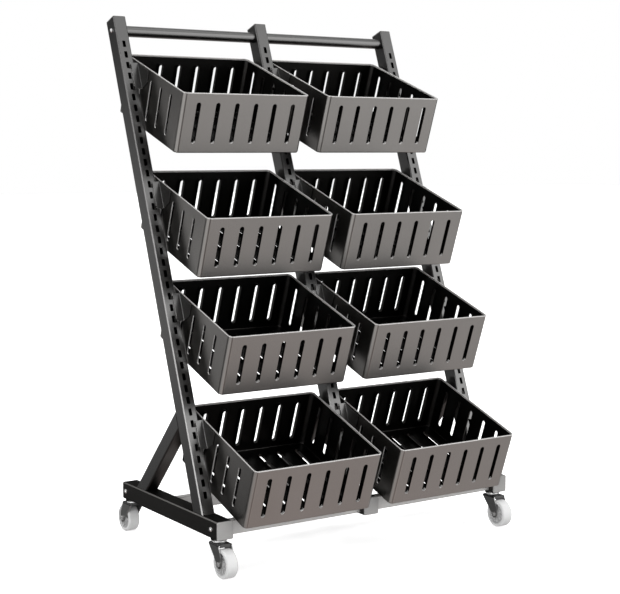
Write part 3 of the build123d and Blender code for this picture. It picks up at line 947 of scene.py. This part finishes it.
def basket_hem(node, rim, places):
    """The hem that rolls over the upper edge of the sheet."""
    profile = [(SHEET - inset, level) for inset, level in arc((0, rim - SHEET), SHEET, 0, 180, HEM_STEPS)]
    profile += [(share * SHEET, rim - depth) for share, depth in HEM_UNDERSIDE]
    hem = Skin(TILT)
    loops = hem.stack([places(level, inset) for inset, level in profile])
    hem.quads(loops[-1], loops[0])
    hem.turn_out()
    # The hem takes the painted highlight along the rim
    return hem.done(f"{node}_hem", [BASKET_PAINTED_HIGHLIGHT])


def basket(name):
    node = f"basket_{name}"
    low, high = extent(node, TILT)
    outline = basket_outline(low, high)

    def places(level, inset=0.0):
        return [(x - out.x * inset, y - out.y * inset, level) for x, y, out in outline]

    sheet = basket_sheet(node, low, high, places)
    hem = basket_hem(node, high.z, places)
    show(f"{node}_sheet", joined(node, [sheet, hem]), node, "basket_paint", node)


def hook_half(name, side, wall_x, upright_x, front, level, tilt):
    """One bracket of a basket in the upright's axes: a plate on the wall, a flange and two blades."""
    way = 1 if side == "left" else -1
    skin = Skin(LEAN)
    back = front - HOOK_GAP
    top, low = level + HOOK_LENGTH / 2, level - HOOK_LENGTH / 2
    nose = Vector((back - HOOK_REACH * cos(tilt), top - HOOK_REACH * sin(tilt)))
    chin = nose + Vector((HOOK_FRONT * sin(tilt), -HOOK_FRONT * cos(tilt)))
    flange_x = upright_x + way * HOOK_FLANGE_STOP
    fold_y = back - HOOK_BEND
    columns = [(flange_x, back)]
    columns += arc((wall_x - way * HOOK_BEND, fold_y), HOOK_BEND, 90, -90 * way, BEND_STEPS)
    rings = [skin.ring([(x, y, z) for x, y in columns]) for z in (low, top)]
    skin.quads(*rings, closed=False)
    corners = [(fold_y, low), chin, nose, (fold_y, top)]
    # The plate takes the lighter painted-light copy of the frame paint
    for face in skin.plate(skin.ring([(wall_x, y, z) for y, z in corners]), [], (way, 0, 0)):
        face.material_index = BRACKET_PLATE
    skin.face_outwards((way, 0, 0))
    meshes = [skin.done(name, BRACKET_PAINT, HOOK_SHEET, SHEET_EDGE)]
    inner = front + TUBE_WALL + HOOK_GAP
    root = back - HOOK_SHEET
    blade_x = upright_x + way * HOOK_BLADE_OFFSET
    for slot in (level - SLOT_PITCH, level + SLOT_PITCH):
        neck = slot - SLOT_HEIGHT / 2 + HOOK_SEAT
        outline = (
            (root, neck), (inner, neck), (inner, neck - HOOK_LIP), (inner + HOOK_LIP_DEPTH, neck - HOOK_LIP),
            (inner + HOOK_LIP_DEPTH, neck + HOOK_NECK), (root, neck + HOOK_NECK),
        )
        section = ((blade_x, root), (flange_x, root), (flange_x, back), (blade_x, back))
        blade = Skin(LEAN)
        blade.solid([[(x, y, z) for y, z in outline] for x in (blade_x, blade_x + way * HOOK_SHEET)])
        blade.solid([[(x, y, z) for x, y in section] for z in (neck, neck + HOOK_NECK)])
        blade.turn_out()
        # The blades take the painted shade, a dark shadow beside the flange on the upright
        meshes.append(blade.done(name, [BASKET_PAINTED_SHADE], edge=BLADE_EDGE))
    return meshes


def hooks(bay, tier):
    """The two brackets of a basket, on the uprights at its sides."""
    node = f"hooks_{bay}_{tier}"
    wall = extent(f"basket_{bay}_{tier}", TILT)
    tilt = LEAN.col[1].angle(TILT.col[1])
    bounds = {"left": ("left", "middle"), "right": ("middle", "right")}[bay]
    front = extent("upright_left", LEAN)[0].y
    level = extent(node, LEAN)[1].z - HOOK_LENGTH / 2
    meshes = []
    for side, frame_name, wall_x in zip(SIDES, bounds, (wall[0].x, wall[1].x)):
        tube_low, tube_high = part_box(f"upright_{frame_name}")
        meshes += hook_half(node, side, wall_x, (tube_low.x + tube_high.x) / 2, front, level, tilt)
    show(f"{node}_brackets", joined(node, meshes), f"basket_{bay}_{tier}", "basket_paint", node)


# Casters


def caster_fork(name, swivel, axle):
    """A pressed fork with a turned-down lip at the rear of its crown, and the nuts of its axle."""
    node, body = f"caster_fork_{name}", f"swivel_{name}"
    way = 1 if axle.y > swivel.y else -1
    trail = abs(axle.y - swivel.y)
    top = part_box(node)[1].z
    shoulder = top - FORK_BEND
    leg = [(-CROWN_FRONT, shoulder), (CROWN_REAR, shoulder)]
    leg.append((trail + FORK_BOSS * FORK_BELLY[0], axle.z + FORK_BOSS * FORK_BELLY[1]))
    leg += arc((trail, axle.z), FORK_BOSS, 0, -180, FORK_BOSS_STEPS)
    skin = Skin()
    for sign in (-1, 1):
        ring = skin.ring([(swivel.x + sign * FORK_HALF, swivel.y + way * y, z) for y, z in leg])
        skin.plate(ring, [], (sign, 0, 0))
    section = arc((FORK_HALF - FORK_BEND, shoulder), FORK_BEND, 0, 90, BEND_STEPS)
    section += [(-x, z) for x, z in section[::-1]]
    rings = []
    for y in (-CROWN_FRONT, CROWN_REAR):
        rings.append(skin.ring([(swivel.x + x, swivel.y + way * y, z) for x, z in section]))
    crown = skin.quads(*rings, closed=False)
    flat = [point for point in rings[1] if point.co.z > top - SAME_POINT]
    lip = skin.ring([point.co - Vector((0, 0, CROWN_LIP)) for point in flat])
    # The crown and its lip take the painted-shade zinc
    for face in crown + skin.quads(flat, lip, closed=False):
        face.material_index = CROWN
    skin.face_outwards((0, 0, 1))
    pressing = skin.done(node, FORK_ZINC, FORK_SHEET, FORK_EDGE)
    show(f"{node}_pressing", pressing, body, "fork_zinc", node)

    nuts = []
    height = NUT_HEIGHT / NUT_PROFILE[-1][1]
    for sign in (-1, 1):
        place = Vector((swivel.x + sign * FORK_HALF, axle.y, axle.z))
        nuts.append(hex_nut("axle_nut", place, outwards(sign), NUT_HEX, height))
    show(f"axle_nuts_{name}", joined("axle_nuts", nuts), body, "bolt_steel")


def caster_wheel(name, axle):
    """A round-shouldered tread on a core with a web and ribs."""
    node, body = f"caster_wheel_{name}", f"wheel_{name}"
    low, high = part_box(node)
    radius, width = (high.z - low.z) / 2, (high.x - low.x) / 2
    rim = radius - TREAD_DEPTH
    shoulder = arc((radius - TREAD_SHOULDER, width - TREAD_SHOULDER), TREAD_SHOULDER, 0, 90, BEND_STEPS)
    profile = [(r, -h) for r, h in shoulder[::-1]] + shoulder
    profile += [(rim, h) for h in (width, width - TREAD_SEAT, TREAD_SEAT - width, -width)]
    tread = turned("tread", TREAD_RUBBER, profile, axle, SIDEWAYS, WHEEL_STEPS, bored=True)
    show(f"{node}_tread", tread, body, "wheel_plastic")

    face, web = width - CORE_INSET, width - WEB_INSET
    disc = [
        (HUB_BORE, width), (HUB_FACE, width), (HUB_RADIUS, web + HUB_RISE), (HUB_FOOT, web),
        (rim - RIM_FOOT, web), (rim - RIM_FACE, face), (rim, face),
    ]
    disc += [(r, -h) for r, h in disc[::-1]]
    meshes = [turned("core", CORE_PLASTIC, disc, axle, SIDEWAYS, WHEEL_STEPS, CORE_EDGE, bored=True)]
    depth = face - RIB_INSET
    for k in range(WHEEL_RIBS):
        angle = 2 * pi * k / WHEEL_RIBS
        out = SIDEWAYS @ Vector((cos(angle), sin(angle), 0))
        across = SIDEWAYS @ Vector((-sin(angle), cos(angle), 0))
        rings = []
        for reach, half in ((RIB_ROOT, RIB_ROOT_HALF), (rim - RIB_END, RIB_END_HALF)):
            corners = ((-half, -depth), (half, -depth), (half, depth), (-half, depth))
            rings.append([axle + out * reach + across * a + Vector((b, 0, 0)) for a, b in corners])
        rib = Skin()
        rib.solid(rings)
        rib.turn_out()
        meshes.append(rib.done("rib", CORE_PLASTIC, edge=CORE_EDGE))
    show(f"{node}_core", joined("core", meshes), body, "wheel_plastic", node)


def caster(name):
    swivel = Vector(joints[f"swivel_{name}"]["pos_m"])
    axle = Vector(joints[f"roll_{name}"]["pos_m"])
    caster_fork(name, swivel, axle)
    caster_wheel(name, axle)


def stems():
    """The ball races under the base tubes, with the pin heads below the crowns."""
    pin_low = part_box("caster_stems")[0].z
    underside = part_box("base_tube_left")[0].z
    race_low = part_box("caster_fork_front_left")[1].z + RACE_GAP
    height = underside - race_low
    race = [(share * RACE_RADIUS, race_low + rise * height) for share, rise in RACE_BARREL]
    neck = [(NECK_RADIUS, race_low + NECK_FOOT * height), (NECK_RADIUS, underside)]
    head = [(share * PIN_HEAD, pin_low + rise * PIN_HEAD) for share, rise in PIN_CROWN]
    head.append((PIN_SHANK * PIN_HEAD, race_low))
    meshes = []
    for name in CASTERS:
        place = Vector(joints[f"swivel_{name}"]["pos_m"]).xy.to_3d()
        meshes.append(turned("race", RACE_ZINC, race, place))
        meshes.append(turned("neck", BASE_SHADED_PAINT, neck, place))
        meshes.append(turned("pin", RACE_ZINC, head, place, steps=SMALL_STEPS))
    show("caster_races", joined("races", meshes), "frame", "race_zinc", "caster_stems")


caps = [upright(name) for name in FRAMES]
show("upright_top_caps", joined("upright_top_caps", caps), "frame", "cap_plastic", "upright_caps")
for name in FRAMES:
    brace(name)
    level_tube(f"base_tube_{name}", BASE_SHADED_PAINT, DEEP, TUBE_CORNER, TUBE_WALL)
base_caps()
for bay in SIDES:
    top_tube(bay)
    level_tube(f"front_beam_{bay}", BEAM_LIT_PAINT, SIDEWAYS, BEAM_CORNER, BEAM_WALL)
    level_tube(f"rear_beam_{bay}", BEAM_LIT_PAINT, SIDEWAYS, BEAM_CORNER, BEAM_WALL)
    for tier in TIERS:
        basket(f"{bay}_{tier}")
        hooks(bay, tier)
for node in ("top_tube_bolts", "front_beam_bolts", "rear_base_bolts"):
    bolts(node)
for name in CASTERS:
    caster(name)
stems()
nut_finishes = frame["nodes"]["caster_nuts"].data.materials
nut_finishes.clear()
nut_finishes.append(BOLT_STEEL[0])


# Studio


def studio():
    """A pale floor and a room of soft panels, which the rack reflects and the view sees as plain white."""
    floor_mesh = bpy.data.meshes.new("studio_floor")
    ways = ((-1, -1), (1, -1), (1, 1), (-1, 1))
    floor_mesh.from_pydata([(x * FLOOR_SPAN, y * FLOOR_SPAN, 0) for x, y in ways], [], [(0, 1, 2, 3)])
    floor = bpy.data.objects.new("studio_floor", floor_mesh)
    bpy.context.scene.collection.objects.link(floor)
    paper = Finish("studio_paper", Roughness=FLOOR_ROUGHNESS, Emission_Strength=1.0)
    seen = paper.seen_directly()
    paper.wire(Base_Color=paper.mix(seen, grey(FLOOR_SHADE), grey(FLOOR_PAPER)))
    paper.wire(Emission_Color=paper.mix(seen, grey(FLOOR_GLOW), grey(FLOOR_WHITE)))
    floor_mesh.materials.append(paper.material)
    floor.visible_glossy = False

    room = bpy.data.worlds.new("studio_room")
    sky = Shading(room, "Background")
    way = sky.node("ShaderNodeTexCoord", output="Generated")
    glow = ROOM_GLOW
    for direction, inner, outer, power in PANELS.values():
        facing = sky.along(way, Vector(direction).normalized())
        glow = sky.rise(facing, cos(radians(outer)), cos(radians(inner)), 0.0, power) + glow
    below = sky.rise(sky.along(way, (0, 0, -1)), *WARM_SPAN, 0.0, 1.0)
    lit = sky.mix(glow, grey(0.0), sky.mix(below, grey(1.0), WARM_BELOW), beyond=True)
    sky.wire(Color=sky.mix(sky.seen_directly(), lit, grey(1.0)))
    bpy.context.scene.world = room
    bpy.context.scene.view_settings.view_transform = "Standard"


def area_light(name, place, target, size, power):
    """A soft lamp that lights plain surfaces and isn't mirrored in the paint."""
    light = bpy.data.lights.new(name, "AREA")
    light.shape = "RECTANGLE"
    light.size, light.size_y = size
    light.energy = power
    lamp = bpy.data.objects.new(name, light)
    lamp.location = place
    lamp.rotation_mode = "QUATERNION"
    lamp.rotation_quaternion = (Vector(target) - Vector(place)).to_track_quat("-Z", "Y")
    lamp.visible_glossy = False
    bpy.context.scene.collection.objects.link(lamp)


def camera():
    """The photograph's viewpoint, without roll or shift."""
    lens = bpy.data.cameras.new("photo_camera")
    lens.sensor_width = SENSOR
    lens.lens = FOCAL_PIXELS * SENSOR / IMAGE_WIDTH
    lens.clip_end = VIEW_DEPTH
    eye = bpy.data.objects.new("photo_camera", lens)
    ahead = Vector((sin(CAMERA_YAW) * cos(CAMERA_DIP), cos(CAMERA_YAW) * cos(CAMERA_DIP), -sin(CAMERA_DIP)))
    eye.location = CAMERA_PLACE
    eye.rotation_mode = "QUATERNION"
    eye.rotation_quaternion = ahead.to_track_quat("-Z", "Y")
    bpy.context.scene.collection.objects.link(eye)
    bpy.context.scene.camera = eye


studio()
middle = (cad_box[0] + cad_box[1]) / 2
for name, (place, size, power) in SOFTBOXES.items():
    area_light(name, place, middle, size, power)
camera()
